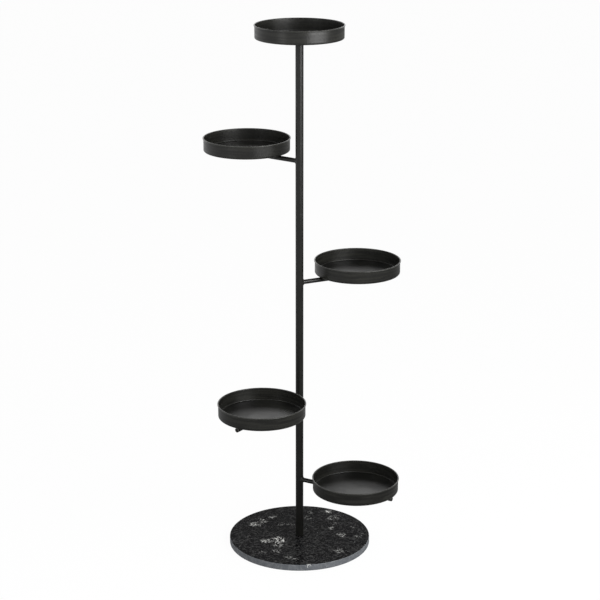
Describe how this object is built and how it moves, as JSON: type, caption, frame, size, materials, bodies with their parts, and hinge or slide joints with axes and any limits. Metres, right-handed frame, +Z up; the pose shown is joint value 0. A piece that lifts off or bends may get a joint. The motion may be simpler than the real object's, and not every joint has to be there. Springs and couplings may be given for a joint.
{
  "type": "tiered plant stand",
  "caption": "Tall plant stand: shallow round trays on rods set round a slim steel pole, with a tray on the head of the pole, on a round polished marble base.",
  "frame": {"origin": "centre of the underside of the floor pad, on the pole's axis", "axes": "+Z up along the pole, -Y towards the side that the picture is taken from, +X to that viewer's right"},
  "size_m": [0.4797, 0.4321, 1.3],
  "materials": {
    "black_powder_coat": "satin",
    "black_marble": "polished",
    "black_felt": "matte",
    "zinc_plate": "satin"
  },
  "bodies": {
    "root": {"floor_pad": "black_felt", "stone_base": "black_marble", "base_washer": "zinc_plate", "base_spring_washer": "zinc_plate", "base_bolt": "zinc_plate", "foot_plug": "zinc_plate", "pole_section_1": "black_powder_coat", "pole_section_2": "black_powder_coat", "pole_section_3": "black_powder_coat", "joint_1_plug_below": "zinc_plate", "joint_1_plug_above": "zinc_plate", "joint_1_stud": "zinc_plate", "joint_2_plug_below": "zinc_plate", "joint_2_plug_above": "zinc_plate", "joint_2_stud": "zinc_plate", "top_plug": "zinc_plate", "arm_tier_1": "black_powder_coat", "arm_tier_2": "black_powder_coat", "arm_tier_3": "black_powder_coat", "arm_tier_4": "black_powder_coat", "tray_tier_1": "black_powder_coat", "tray_tier_2": "black_powder_coat", "tray_tier_3": "black_powder_coat", "tray_tier_4": "black_powder_coat", "tray_tier_5": "black_powder_coat", "top_tray_bolt": "zinc_plate"}
  },
  "joints": []
}
